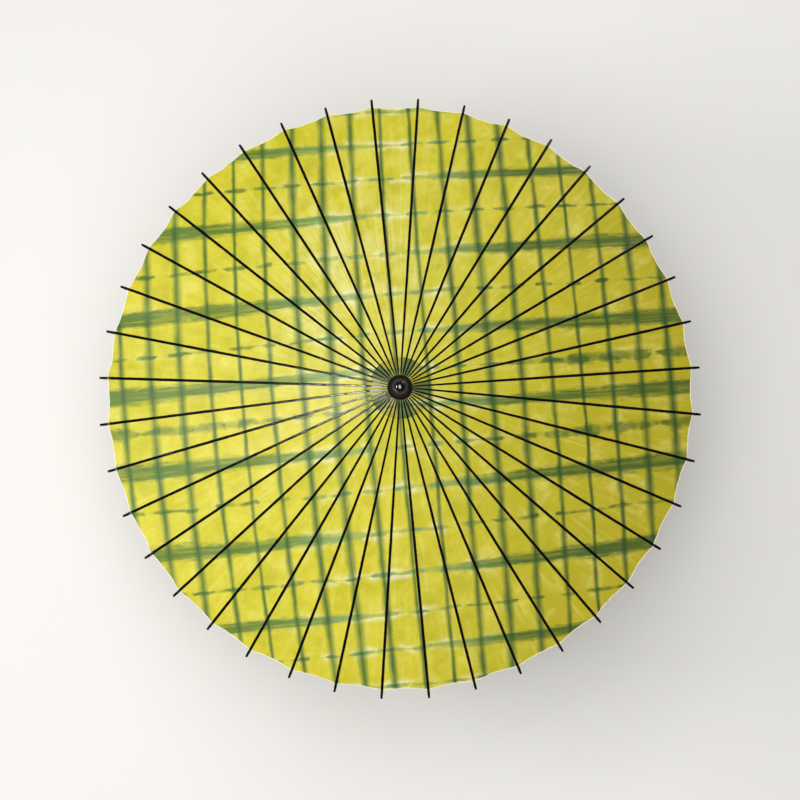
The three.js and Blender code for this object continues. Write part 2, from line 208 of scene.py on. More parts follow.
class Graph:
    """A material's nodes, made by short calls. Every value is a number or another node's output."""

    def __init__(self, name):
        self.material = bpy.data.materials.new(name)
        self.material.use_nodes = True
        self.tree = self.material.node_tree
        self.shader = next(n for n in self.tree.nodes if n.type == "BSDF_PRINCIPLED")
        self.output = next(n for n in self.tree.nodes if n.type == "OUTPUT_MATERIAL")

    def feed(self, socket, value):
        if isinstance(value, bpy.types.NodeSocket):
            self.tree.links.new(value, socket)
        elif isinstance(value, tuple) and len(value) == 3 and socket.type == "RGBA":
            socket.default_value = (*value, 1)
        else:
            socket.default_value = value

    def node(self, kind, settings=None, **inputs):
        made = self.tree.nodes.new(kind)
        for key, value in (settings or {}).items():
            setattr(made, key, value)
        for key, value in inputs.items():
            self.feed(made.inputs[key.replace("_", " ")], value)
        return made

    def math(self, operation, *values):
        made = self.tree.nodes.new("ShaderNodeMath")
        made.operation = operation
        for socket, value in zip(made.inputs, values):
            self.feed(socket, value)
        return made.outputs[0]

    def add(self, a, b):
        return self.math("ADD", a, b)

    def sub(self, a, b):
        return self.math("SUBTRACT", a, b)

    def mul(self, a, b):
        return self.math("MULTIPLY", a, b)

    def invert(self, a):
        return self.sub(1.0, a)

    def step(self, low, high, value):
        """0 below low and 1 above high, smoothly. high may be lower than low, which turns it round."""
        made = self.node("ShaderNodeMapRange", {"interpolation_type": "SMOOTHSTEP"})
        for key, x in (("Value", value), ("From Min", low), ("From Max", high)):
            self.feed(made.inputs[key], x)
        return made.outputs[0]

    def uv(self, name):
        return self.node("ShaderNodeUVMap", {"uv_map": name}).outputs[0]

    def split(self, vector):
        return self.node("ShaderNodeSeparateXYZ", Vector=vector).outputs[:3]

    def vector(self, x, y, z=0.0):
        return self.node("ShaderNodeCombineXYZ", X=x, Y=y, Z=z).outputs[0]

    def stretch(self, vector, x, y, z=1.0):
        made = self.node("ShaderNodeVectorMath", {"operation": "MULTIPLY"})
        self.feed(made.inputs[0], vector)
        made.inputs[1].default_value = (x, y, z)
        return made.outputs[0]

    def place(self):
        """The surface point in the object's own frame."""
        return self.node("ShaderNodeTexCoord").outputs["Object"]

    def noise(self, vector, scale, detail=2.0, roughness=0.5, distortion=0.0):
        made = self.node("ShaderNodeTexNoise", Vector=vector, Scale=scale, Detail=detail,
                         Roughness=roughness, Distortion=distortion)
        return made.outputs[0]

    def mix(self, a, b, factor):
        made = self.node("ShaderNodeMix", {"data_type": "RGBA"})
        self.feed(made.inputs["Factor"], factor)
        self.feed(made.inputs[6], a)
        self.feed(made.inputs[7], b)
        return made.outputs[2]

    def shade(self, colour, factor):
        """colour times a number."""
        made = self.node("ShaderNodeVectorMath", {"operation": "SCALE"})
        self.feed(made.inputs[0], colour)
        self.feed(made.inputs["Scale"], factor)
        return made.outputs[0]

    def bump(self, height, strength, distance, under=None):
        made = self.node("ShaderNodeBump", Height=height, Strength=strength, Distance=distance)
        if under is not None:
            self.feed(made.inputs["Normal"], under)
        return made.outputs[0]

    def finish(self, colour, roughness, normal=None, **sockets):
        self.feed(self.shader.inputs["Base Color"], colour)
        self.feed(self.shader.inputs["Roughness"], roughness)
        if normal is not None:
            self.feed(self.shader.inputs["Normal"], normal)
        for key, value in sockets.items():
            self.feed(self.shader.inputs[key.replace("_", " ")], value)
        return self.material


# ---- materials ---------------------------------------------------------------------------

TWIST_SCALE = 2600.0
TOOL_MARK_SCALE = 2600.0
LIGHT_THROUGH_PAPER = 0.3


def stripe_dye(g, plan, u):
    """Strength of the stripes' dye: a soft halo, and the dark line in it where the paper was folded."""
    at = g.add(u, g.mul(g.sub(g.noise(plan, 13.0, 2.0), 0.5), 0.13))
    number = g.math("ROUND", at)
    away = g.mul(g.math("ABSOLUTE", g.sub(at, number)), STRIPE_PITCH)
    turn = g.mul(g.add(number, STRIPES_LEFT), 2 * math.pi / STRIPE_CYCLE)
    half = g.sub(STRIPE_HALF, g.mul(g.math("COSINE", turn), STRIPE_SWING))
    ragged = g.add(away, g.mul(g.sub(g.noise(plan, 95.0, 2.0), 0.5), 0.0022))
    swell = g.add(0.3, g.mul(g.noise(plan, 26.0, 2.0), 1.4))
    halo = g.step(g.mul(half, 1.6), g.mul(half, 0.15), g.math("DIVIDE", ragged, swell))
    split = g.mul(g.step(0.45, 0.65, g.noise(plan, 17.0, 2.0)), 0.001)
    core = g.step(FOLD_LINE, 0.0002, g.math("ABSOLUTE", g.sub(away, split)))
    strength = g.add(0.7, g.mul(g.step(0.3, 0.65, g.noise(plan, 20.0, 3.0)), 0.3))
    return g.mul(halo, strength), g.mul(core, strength)


def band_dye(g, plan, x, u, v):
    """Strength of the bands' dye, of the pale fringe beside it, and of the streaks in it.

    Every other band opens out to the left edge and the rest to the right edge. On its other side a band is a
    row of dashes, one at each stripe, which near the middle band run together into smudges at the edge."""
    streaks = g.noise(g.vector(g.mul(x, 8.0), g.mul(v, 10.0)), 1.0, 3.0, 0.55)
    feather = g.sub(g.noise(g.vector(g.mul(x, 60.0), g.mul(v, 13.0)), 1.0, 4.0, 0.7), 0.5)
    at = g.add(v, g.mul(g.sub(g.noise(plan, 15.0, 2.0), 0.5), 0.15))
    number = g.math("ROUND", at)
    away = g.mul(g.math("ABSOLUTE", g.sub(at, number)), BAND_PITCH)
    odd = g.math("MODULO", g.math("ABSOLUTE", number), 2.0)
    outward = g.mul(x, g.sub(g.mul(odd, 2.0), 1.0))
    reach = g.add(0.24, g.mul(g.step(0.35, 0.65, g.noise(plan, 21.0, 1.0)), 0.32))
    from_stripe = g.math("DIVIDE", g.math("ABSOLUTE", g.sub(u, g.math("ROUND", u))), reach)
    from_stripe = g.add(from_stripe, g.mul(feather, 0.9))
    dash = g.math("SQRT", g.math("MAXIMUM", 0.01, g.sub(1.0, g.mul(from_stripe, from_stripe))))
    thin = g.mul(dash, g.add(DASH_HALF, g.mul(g.noise(plan, 31.0, 1.0), DASH_SWELL)))
    broad = g.add(BAND_HALF, g.mul(g.math("MAXIMUM", outward, 0.0), BAND_FLARE))
    opened = g.step(-0.03, 0.12, outward)
    near_middle = g.step(1.5, 1.2, g.math("ABSOLUTE", g.sub(number, MIDDLE_BAND)))
    smudge = g.mul(near_middle, g.step(0.13, 0.34, g.math("ABSOLUTE", x)))
    smudge = g.mul(g.mul(smudge, g.invert(opened)), g.step(0.3, 0.6, g.noise(plan, 19.0, 3.0)))
    half = g.add(thin, g.mul(g.sub(broad, thin), opened))
    half = g.add(half, g.mul(smudge, SMUDGE_HALF))
    tear = g.mul(feather, g.add(0.005, half))
    ragged = g.add(away, g.add(g.mul(g.sub(streaks, 0.5), g.mul(half, 0.8)), tear))
    soft = g.add(g.add(0.0013, g.mul(opened, 0.0014)), g.mul(smudge, 0.004))
    ink = g.step(g.add(g.mul(half, 1.2), soft), g.mul(half, 0.5), ragged)
    fringe = g.mul(g.step(g.add(half, FRINGE_WIDTH), half, ragged), g.invert(ink))
    faint = g.add(0.5, g.mul(g.step(0.35, 0.62, g.noise(plan, 37.0, 2.0)), 0.5))
    dashes = g.mul(faint, g.add(0.12, g.mul(g.step(0.15, 0.85, dash), 0.88)))
    ink = g.mul(ink, g.math("MAXIMUM", g.math("MAXIMUM", opened, dashes), g.mul(smudge, 0.75)))
    return ink, fringe, g.mul(g.step(0.42, 0.68, streaks), opened)


def bare_paper(g, plan, x, y, clouds, creases):
    """The paper between the dye: cloudy yellow, darkened towards the lower right by painted shade, paler in
    brushed radial strokes.

    The strokes are palest in a patch above the hub, to its left: a painted glare that stands in for window
    light shining off the oiled paper."""
    base = g.mix((0.62, 0.55, 0.03), (0.55, 0.51, 0.018), g.step(0.35, 0.65, clouds))
    # Painted shade: the bare paper darkens towards the lower right, where less light falls on it.
    shade_lower_right = g.step(-0.05, 0.45, g.sub(g.mul(x, 0.9), g.mul(y, 0.15)))
    base = g.mix(base, (0.43, 0.35, 0.008), g.mul(shade_lower_right, 0.85))
    base = g.mix(base, (0.67, 0.64, 0.15), g.mul(g.step(0.48, 0.72, creases), 0.4))
    # Painted highlight: the pale strokes are strongest in a patch above and left of the hub, in place of
    # glare off the oiled paper.
    glare_patch = g.step(0.2, 0.02, g.math("ABSOLUTE", g.add(x, GLARE_LEFT)))
    glare_patch = g.mul(glare_patch, g.step(0.24, 0.03, g.math("ABSOLUTE", g.sub(y, GLARE_UP))))
    strokes = g.add(g.mul(creases, 0.5), g.mul(g.noise(plan, 17.0, 3.0), 0.5))
    base = g.mix(base, (0.8, 0.78, 0.38), g.mul(g.mul(glare_patch, g.step(0.4, 0.62, strokes)), 0.55))
    blots = g.noise(plan, 26.0, 4.0, 0.65)
    base = g.mix(base, (0.42, 0.4, 0.008), g.mul(g.step(0.52, 0.36, blots), 0.42))
    return g.mix(base, (0.7, 0.66, 0.15), g.mul(g.step(0.5, 0.7, blots), 0.5))


def oiled_paper():
    """Oiled paper, fold-dyed with a green grid, with lobes of dye in the second layer round the hub."""
    g = Graph("oiled_paper")
    plan, dye = g.uv("plan"), g.uv("dye")
    x, y, _ = g.split(plan)
    u, v, _ = g.split(dye)
    radius = g.node("ShaderNodeVectorMath", {"operation": "LENGTH"}, Vector=plan).outputs["Value"]
    turn = g.math("ARCTAN2", y, x)
    clouds = g.noise(plan, 6.0, 4.0, 0.6)
    fibres = g.noise(g.stretch(plan, 900.0, 260.0), 1.0, 2.0)
    creases = g.noise(g.vector(g.mul(turn, 46.0), g.mul(radius, 9.0)), 1.0, 4.0, 0.6)
    halo, core = stripe_dye(g, plan, u)
    ink, fringe, streaks = band_dye(g, plan, x, u, v)
    # A strip down the middle, where the bands are paler teal and their fringes pale: partly the dye's own
    # look, partly a painted sheen of window light on the oiled paper.
    middle = g.step(0.21, 0.04, g.math("ABSOLUTE", g.add(x, 0.02)))

    # Painted shade: the dye's greens get darker towards the right, where less light falls.
    shade_to_right = g.step(-0.2, 0.35, x)
    green = g.mix((0.08, 0.172, 0.024), (0.042, 0.105, 0.013), shade_to_right)
    dark = g.mix((0.04, 0.098, 0.02), (0.024, 0.066, 0.011), shade_to_right)
    # Bands paler and teal in the middle strip: partly dye, partly painted sheen.
    band = g.mix(green, (0.2, 0.37, 0.16), g.mul(middle, 0.8))
    colour = bare_paper(g, plan, x, y, clouds, creases)
    # Pale fringe in the middle strip: partly paper the dye left pale, partly a painted sheen.
    pale = g.mul(g.mul(fringe, middle), g.step(0.46, 0.62, g.noise(plan, 24.0, 3.0)))
    colour = g.mix(colour, (0.78, 0.77, 0.52), g.mul(pale, 0.7))
    colour = g.mix(colour, band, g.mul(ink, g.sub(0.93, g.mul(streaks, 0.34))))
    colour = g.mix(colour, green, g.mul(halo, 0.86))
    colour = g.mix(colour, dark, g.add(g.mul(core, 0.5), g.mul(g.mul(halo, ink), 0.3)))

    in_disc = g.step(DISC_RADIUS + 0.0002, DISC_RADIUS - 0.0002, radius)
    lobe = g.math("COSINE", g.mul(g.add(turn, LOBE_TURN), LOBES))
    lobe = g.add(lobe, g.mul(g.sub(g.noise(plan, 45.0, 2.0), 0.5), 1.4))
    disc = g.mix(g.shade(colour, 0.72), (0.05, 0.11, 0.028), g.mul(g.step(-0.35, 0.75, lobe), 0.88))
    colour = g.mix(colour, disc, in_disc)
    colour = g.shade(colour, g.add(0.94, g.mul(fibres, 0.12)))

    height = g.add(g.mul(creases, 0.8), g.mul(fibres, 0.2))
    normal = g.bump(height, 0.3, 0.0012)
    material = g.finish(colour, g.add(0.36, g.mul(clouds, 0.2)), normal, Coat_Weight=0.2, Coat_Roughness=0.3)

    through = g.node("ShaderNodeBsdfTranslucent", Color=colour).outputs[0]
    blend = g.node("ShaderNodeMixShader")
    g.feed(blend.inputs[0], LIGHT_THROUGH_PAPER)
    g.feed(blend.inputs[1], g.shader.outputs[0])
    g.feed(blend.inputs[2], through)
    g.feed(g.output.inputs["Surface"], blend.outputs[0])
    return material


def thread(name, light, dark):
    """Twisted thread: fine slanted strands."""
    g = Graph(name)
    stretched = g.stretch(g.place(), TWIST_SCALE, TWIST_SCALE, TWIST_SCALE * 0.4)
    strands = g.noise(stretched, 1.0, 2.0, 0.5, 0.6)
    stain = g.noise(g.place(), 70.0, 3.0)
    colour = g.mix(dark, light, g.step(0.3, 0.62, strands))
    colour = g.shade(colour, g.add(0.8, g.mul(stain, 0.35)))
    return g.finish(colour, 0.75, g.bump(strands, 0.6, 0.0004), Specular_IOR_Level=0.25)


def lacquer(name, colour, brushed, roughness, shine):
    """Dark gloss lacquer, brushed on along the stick, so that a highlight on it breaks up."""
    g = Graph(name)
    place = g.place()
    pull = g.noise(place, brushed, 3.0, 0.55)
    grit = g.noise(place, 1400.0, 2.0)
    thin = g.step(0.56, 0.8, g.noise(place, 38.0, 3.0))
    tint = g.mix(colour, (0.02, 0.009, 0.006), g.mul(thin, 0.5))
    normal = g.bump(grit, 0.08, 0.0002, g.bump(pull, 0.16, 0.0006))
    rough = g.add(roughness, g.mul(thin, 0.16))
    return g.finish(tint, rough, normal, Specular_IOR_Level=shine)


def bamboo(name, light, dark, along, roughness):
    """Split bamboo: long fibres, darker flecks and a soft skin."""
    g = Graph(name)
    place = g.place()
    fibres = g.noise(g.stretch(place, *along), 1.0, 4.0, 0.6)
    age = g.noise(place, 24.0, 3.0)
    flecks = g.step(0.66, 0.74, g.noise(g.stretch(place, *[0.6 * a for a in along]), 1.0, 2.0))
    colour = g.mix(dark, light, g.step(0.25, 0.7, fibres))
    colour = g.mix(colour, dark, g.mul(g.step(0.45, 0.75, age), 0.4))
    colour = g.mix(colour, (0.05, 0.025, 0.012), g.mul(flecks, 0.5))
    return g.finish(colour, g.add(roughness, g.mul(fibres, 0.15)), g.bump(fibres, 0.3, 0.0003))


def turned_wood():
    """Dark stained, lathe-turned wood, with rings of tool marks and pores."""
    g = Graph("turned_wood")
    place = g.place()
    height = g.split(place)[2]
    grain = g.noise(g.stretch(place, 260.0, 260.0, 30.0), 1.0, 4.0, 0.6)
    rings = g.noise(g.vector(0.0, 0.0, g.mul(height, TOOL_MARK_SCALE)), 1.0, 2.0)
    colour = g.mix((0.0015, 0.0014, 0.001), (0.006, 0.005, 0.003), g.step(0.35, 0.75, grain))
    normal = g.bump(rings, 0.25, 0.0002, g.bump(grain, 0.2, 0.0003))
    return g.finish(colour, g.add(0.34, g.mul(grain, 0.2)), normal, Specular_IOR_Level=0.05)


def rattan():
    """Lacquered rattan strip: long fibres that follow the winding, darker between the turns."""
    g = Graph("rattan")
    u, v, _ = g.split(g.uv("winding"))
    fibres = g.noise(g.vector(g.mul(u, 14.0), g.mul(v, 3.0)), 1.0, 3.0, 0.6, 0.4)
    cloud = g.noise(g.place(), 45.0, 3.0)
    across = g.math("ABSOLUTE", g.sub(g.math("FRACT", v), 0.5))
    groove = g.step(0.38, 0.5, across)
    colour = g.mix((0.11, 0.047, 0.02), (0.28, 0.14, 0.06), g.step(0.3, 0.7, fibres))
    colour = g.shade(colour, g.add(0.7, g.mul(cloud, 0.6)))
    colour = g.mix(colour, (0.02, 0.01, 0.006), g.mul(groove, 0.85))
    return g.finish(colour, 0.36, g.bump(fibres, 0.25, 0.0003), Coat_Weight=0.4, Coat_Roughness=0.25)


def pale_floor():
    g = Graph("pale_floor")
    cloud = g.noise(g.place(), 1.3, 3.0)
    colour = g.mix((0.6, 0.585, 0.56), (0.64, 0.625, 0.6), cloud)
    return g.finish(colour, 0.8)


MATERIALS = {
    "paper": oiled_paper(),
    "hem": thread("hem_thread", (0.8, 0.76, 0.62), (0.62, 0.56, 0.38)),
    "thread": thread("tie_thread", (0.72, 0.66, 0.48), (0.42, 0.35, 0.2)),
    "dyed_thread": thread("dyed_thread", (0.02, 0.017, 0.01), (0.006, 0.005, 0.003)),
    "lacquer": lacquer("rib_lacquer", (0.0014, 0.0011, 0.0009), 240.0, 0.12, 0.45),
    "gloss": lacquer("gloss_lacquer", (0.002, 0.0016, 0.0014), 60.0, 0.04, 0.65),
    "dyed_bamboo": bamboo("dyed_bamboo", (0.05, 0.03, 0.02), (0.018, 0.012, 0.009), (420, 420, 420), 0.35),
    "honey_bamboo": bamboo("honey_bamboo", (0.52, 0.33, 0.14), (0.36, 0.2, 0.07), (900, 900, 60), 0.42),
    "wood": turned_wood(),
    "rattan": rattan(),
}

# ---- paper gores -------------------------------------------------------------------------

GORE_COLUMNS = np.linspace(-1, 1, 17)
GORE_STATIONS = 58
DISC_STATIONS = 6
DISC_EDGE_IN = 0.0003
DISC_EDGE_OUT = 0.0005
RIM_FROM = 0.9
BEAD_REACH = 0.6
BEAD_TURNS = np.radians([120, 90, 55, 20, -20, -55, -90, -120])


def station_of(radius):
    """Distance along a rib from its pivot to a radius from the shaft's axis."""
    return (radius - PIVOT_RADIUS) / math.cos(OPEN_SLOPE)


PAPER_START = station_of(PAPER_INNER)
PAPER_END = station_of(PAPER_OUTER)
DISC_END = station_of(DISC_RADIUS)


def turn_noise(turn, lobes, height):
    """Smooth noise that runs round the shaft's axis without a seam, with finer waves for more lobes."""
    return noise.noise(Vector((lobes * math.cos(turn), lobes * math.sin(turn), height)))


def gore_surface(azimuth, axes, stations):
    """The paper's middle surface: a grid of (along, across, above) rows, one row of columns for each station.

    Between its ribs the paper lies in a shallow valley, sags in at the rim and is slightly wrinkled."""
    s, u = np.meshgrid(stations, GORE_COLUMNS, indexing="ij")
    radius = PIVOT_RADIUS + s * math.cos(OPEN_SLOPE)
    away = np.abs(u)
    pulled_in = radius * math.sin(HALF_GORE) ** 2 * away
    bowl = 1 - (1 - away) ** 2
    share = np.clip(s / PAPER_END, 0, 1)
    at_rim = smoothstep(RIM_FROM, 1.0, share)
    along = s - pulled_in * math.cos(OPEN_SLOPE) - RIM_SAG * bowl * at_rim
    across = radius * math.sin(HALF_GORE) * math.cos(HALF_GORE) * u
    valley = VALLEY * share ** VALLEY_GROWTH * (0.5 - 0.5 * np.cos(math.pi * away)) ** 0.8
    above = PAPER_UNDER + PAPER_THICKNESS / 2 - pulled_in * math.sin(OPEN_SLOPE) - valley
    grid = np.stack([along, across, above], -1)
    pivot = level_direction(azimuth) * PIVOT_RADIUS + UP * PIVOT_Z
    world = in_axes(pivot, axes, grid.reshape(-1, 3))
    turns = np.arctan2(world[:, 1], world[:, 0])
    radii = np.hypot(world[:, 0], world[:, 1])
    ripple = np.array([turn_noise(t, 38, 7 * r + 20) for t, r in zip(turns, radii)]).reshape(s.shape)
    edge = np.array([turn_noise(t, 24, 3) + 0.5 * turn_noise(t, 61, 9) for t in turns]).reshape(s.shape)
    free = smoothstep(0.05, 0.35, away)
    grid[..., 2] += 2 * WRINKLE * ripple * share * free
    grid[..., 0] += RIM_WAVE * edge * at_rim * smoothstep(0.0, 0.15, away)
    return grid


def paper_uvs(piece):
    """Gives each corner its plan position, and its place in the dyed grid counted in stripes and in bands."""
    points = np.array([v.co for v in piece.data.vertices])
    x, y = points[:, 0], points[:, 1]
    flared = x * (1 + STRIPE_FLARE * y * y)
    stripe = (flared + STRIPE_LEAN * y - STRIPE_BEND * y * y) / STRIPE_PITCH + STRIPE_OFFSET
    wave = BAND_WAVE * np.sin(2 * math.pi * y / BAND_WAVE_LENGTH)
    fall = BAND_TWIST * x * y - BAND_DROOP * x * x + wave
    band = BANDS_ABOVE + (BAND_RISE * x - y - fall) / BAND_PITCH
    corners = np.array([loop.vertex_index for loop in piece.data.loops])
    for name, columns in (("plan", (x, y)), ("dye", (stripe, band))):
        layer = piece.data.uv_layers.new(name=name)
        layer.data.foreach_set("uv", np.stack(columns, 1)[corners].ravel())


def paper_gore(hinge, azimuth, axes):
    """One gore as a closed sheet: its top skin, a bead of thread in the hem, its under skin and its edges."""
    body_stations = np.linspace(DISC_END + DISC_EDGE_OUT, PAPER_END, GORE_STATIONS)
    disc_stations = np.linspace(PAPER_START, DISC_END - DISC_EDGE_IN, DISC_STATIONS)
    stations = np.concatenate([disc_stations, body_stations])
    middle = gore_surface(azimuth, axes, stations)
    half = PAPER_THICKNESS / 2
    step = np.where(stations < DISC_END, DISC_STEP, 0)[:, None]
    top, under = middle.copy(), middle.copy()
    top[..., 2] += half + step
    under[..., 2] -= half
    bead = []
    for turn in BEAD_TURNS:
        ring = middle[-1].copy()
        ring[:, 0] += HEM_BEAD * (BEAD_REACH + math.cos(turn))
        ring[:, 2] += HEM_BEAD * math.sin(turn)
        bead.append(ring)
    rows = np.concatenate([top, np.array(bead), under[::-1]])
    count, columns = rows.shape[:2]
    faces, face_materials = [], []
    first_bead, last_bead = len(stations) - 1, len(stations) + len(BEAD_TURNS) - 1
    for i in range(count):
        k = (i + 1) % count
        for j in range(columns - 1):
            faces.append((i * columns + j, k * columns + j, k * columns + j + 1, i * columns + j + 1))
            face_materials.append(1 if first_bead <= i <= last_bead else 0)
    for j in (0, columns - 1):
        for i in range(len(stations) - 1):
            below = count - 1 - i
            rows_met = (i, i + 1, below - 1, below)
            faces.append(tuple(row * columns + j for row in rows_met))
            face_materials.append(0)
        faces.append(tuple(i * columns + j for i in range(first_bead, last_bead + 2)))
        face_materials.append(1)
    points = in_axes(Vector(hinge["pos_m"]), axes, rows.reshape(-1, 3))
    name = hinge["child"].replace("rib", "gore")
    piece = make_mesh(name, points, faces, [MATERIALS["paper"], MATERIALS["hem"]], face_materials)
    clean_up(piece)
    paper_uvs(piece)
    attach(piece, hinge["child"])
    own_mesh(piece)
    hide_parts("canopy", "centre_disc", "rim_thread")


# ---- ribs --------------------------------------------------------------------------------

LACQUER_START = station_of(0.0186)
LACQUER_STEP = 0.004
LACQUER_ARC = np.radians(np.linspace(0, 180, 9))
LACQUER_PLACES = [0, 0.008, 0.045, 0.16, 0.3, 0.47, RIB_LENGTH]
LACQUER_WIDTHS = [0.0018, 0.0023, 0.0030, 0.0039, 0.0044, 0.0044, 0.0036]
LACQUER_INSET = 0.0004
LACQUER_SINK = 0.00016
LACQUER_KEEL = 0.00008
TIP_SINK = 0.0003
# The lacquer's edges drop by this share of a straight fall from the rib to the middle of the valley.
PAPER_FALL = 0.6
# Half a gore's width, for each metre from the shaft's axis.
HALF_GORE_WIDTH = 0.078
HEM_END = PAPER_END + 2 * HEM_BEAD
HEM_LUMP = 0.0004
WRAP_TURNS = 7
WRAP_LENGTH = 0.0055
WRAP_THREAD = 0.00012
WRAP_GAP = 0.00002
WRAP_GAP_BELOW = 0.00005
WRAP_CORNER = 0.0005
WRAP_SAMPLES = 6


def lacquer_stations():
    """Places along a rib for the lacquer's sections, closer together where it climbs down off the hem."""
    even = np.arange(LACQUER_START, RIB_LENGTH - 0.002, LACQUER_STEP)
    at_hem = [HEM_END - 0.0015, HEM_END + 0.0005, HEM_END + 0.002]
    at_tip = [RIB_LENGTH - 0.0012, RIB_LENGTH - LACQUER_INSET]
    return np.sort(np.concatenate([even, at_hem, at_tip]))


def lacquer_sections(seed):
    """Rings of (along, across, above) for the lacquer brushed over the paper along a rib, out to its tip."""
    rings = []
    for s in lacquer_stations():
        bare = smoothstep(HEM_END - 0.0003, HEM_END + 0.0022, s)
        on_paper = PAPER_UNDER + PAPER_THICKNESS + (DISC_STEP if s < DISC_END else 0)
        rib_top = np.interp(s, [RIB_TAPER_FROM, RIB_LENGTH], [RIB_TOP, RIB_TIP_TOP])
        over_hem = HEM_LUMP * smoothstep(HEM_END - 0.003, HEM_END - 0.001, s) * (1 - bare)
        ends = min(1, 0.45 + (s - LACQUER_START) / 0.003, 0.35 + (RIB_LENGTH - s) / 0.0018)
        jitter = noise.noise(Vector((s * 130, seed * 7.3, 0)))
        half = np.interp(s, LACQUER_PLACES, LACQUER_WIDTHS) / 2 * (1 + 0.09 * jitter) * (0.55 + 0.45 * ends)
        sway = 0.00022 * noise.noise(Vector((s * 60, seed * 3.1, 5)))
        valley = VALLEY * (s / PAPER_END) ** VALLEY_GROWTH
        drop = valley * PAPER_FALL * half / (HALF_GORE_WIDTH * (PIVOT_RADIUS + s)) * (1 - bare)
        low = (on_paper - LACQUER_SINK - drop) * (1 - bare) + (rib_top - TIP_SINK) * bare
        crest = on_paper * (1 - bare) + rib_top * bare + over_hem
        thick = LACQUER_HEIGHT * (1 + 0.25 * noise.noise(Vector((s * 90, seed * 5.7, 9)))) * ends
        ring = [(s, sway + half * math.cos(t), low + (crest + thick - low) * math.sin(t) ** 0.5)
                for t in LACQUER_ARC]
        ring.append((s, sway, low - LACQUER_KEEL))
        rings.append(ring)
    return np.array(rings)


def wrap_sections():
    """Rings round a rib where a strut meets it: a few turns of thread."""
    width, bottom = RIB_WIDTH / 2 + WRAP_GAP, RIB_BOTTOM - WRAP_GAP_BELOW
    top = RIB_TOP + WRAP_GAP
    rings = []
    samples = WRAP_TURNS * WRAP_SAMPLES + 1
    for i in range(samples):
        s = STRUT_AT - WRAP_LENGTH / 2 + WRAP_LENGTH * i / (samples - 1)
        at_end = i in (0, samples - 1)
        bulge = 0.35 + 0.65 * abs(math.sin(math.pi * i / WRAP_SAMPLES))
        out = 0.00001 if at_end else WRAP_THREAD * bulge
        y, low, high = width + out, bottom - out, top + out
        inner, side_low, side_high = y - WRAP_CORNER, low + WRAP_CORNER, high - WRAP_CORNER
        rings.append([(s, y, side_low), (s, y, side_high), (s, inner, high), (s, -inner, high),
                      (s, -y, side_high), (s, -y, side_low), (s, -inner, low), (s, inner, low)])
    return np.array(rings)


def rib_coat(hinge, axes, seed):
    """The lacquer along the top of a rib, with the thread wrap at its strut joint."""
    lacquer_rings, wrap_rings = lacquer_sections(seed), wrap_sections()
    faces = ring_faces(*lacquer_rings.shape[:2])
    lacquer_faces = len(faces)
    points = lacquer_rings.reshape(-1, 3)
    faces += ring_faces(*wrap_rings.shape[:2], start=len(points))
    points = np.concatenate([points, wrap_rings.reshape(-1, 3)])
    face_materials = [0] * lacquer_faces + [1] * (len(faces) - lacquer_faces)
    placed = in_axes(Vector(hinge["pos_m"]), axes, points)
    piece = make_mesh(hinge["child"].replace("rib", "rib_coat"), placed, faces,
                      [MATERIALS["lacquer"], MATERIALS["thread"]], face_materials)
    clean_up(piece)
    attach(piece, hinge["child"])


# ---- struts ------------------------------------------------------------------------------

STRUT_SIDES = 12
STRUT_NODE_AT = 0.128
STRUT_NODE_LENGTH = 0.0016
STRUT_NODE_HEIGHT = 0.00022
STRUT_HALF_HEIGHT = 0.00135
STRUT_PLACES = [0, 0.02, 0.2, 0.222]
STRUT_HALF_WIDTHS = [0.00085, 0.00095, 0.00125, 0.00135]
STRUT_END_GAP = 0.0035
STRUT_CUT_FROM = 0.18


def strut_sections(seed):
    """Rings of a split bamboo strut, with rounded edges, a node, and an end cut to the rib's underside."""
    meeting = OPEN_SLOPE + STRUT_SLOPE
    end = STRUT_LENGTH - STRUT_END_GAP / math.sin(meeting)
    stations = np.concatenate([[-0.0004, 0.0002], np.linspace(0.004, STRUT_NODE_AT - 0.004, 7),
                               STRUT_NODE_AT + np.array([-0.0015, 0, 0.0015]),
                               np.linspace(STRUT_NODE_AT + 0.005, end - 0.0006, 7), [end]])
    rings = []
    for i, s in enumerate(stations):
        inset = 0.75 if i in (0, len(stations) - 1) else 1.0
        node = STRUT_NODE_HEIGHT * math.exp(-((s - STRUT_NODE_AT) / STRUT_NODE_LENGTH) ** 2)
        half_width = (np.interp(s, STRUT_PLACES, STRUT_HALF_WIDTHS) + node) * inset
        half_height = (STRUT_HALF_HEIGHT + node + 0.00008 * noise.noise(Vector((s * 50, seed, 2)))) * inset
        ring = []
        for k in range(STRUT_SIDES):
            turn = 2 * math.pi * (k + 0.5) / STRUT_SIDES
            c, d = math.cos(turn), math.sin(turn)
            y = half_width * math.copysign(abs(c) ** 0.5, c)
            z = half_height * math.copysign(abs(d) ** 0.5, d)
            lean = smoothstep(STRUT_CUT_FROM, end, s) * z / math.tan(meeting)
            ring.append((s - lean, y, z))
        rings.append(ring)
    return np.array(rings)


def strut(hinge, azimuth, seed):
    axes = local_axes(azimuth, -STRUT_SLOPE)
    rings = strut_sections(seed)
    root = level_direction(azimuth) * PIVOT_RADIUS + UP * RUNNER_PIVOT_Z
    piece = make_mesh(hinge["child"].replace("rib", "strut"), in_axes(root, axes, rings.reshape(-1, 3)),
                      ring_faces(*rings.shape[:2]), [MATERIALS["honey_bamboo"]])
    clean_up(piece)
    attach(piece, "runner")
    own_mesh(piece)
    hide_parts("strut_crown")


# ---- threads round the shaft -------------------------------------------------------------

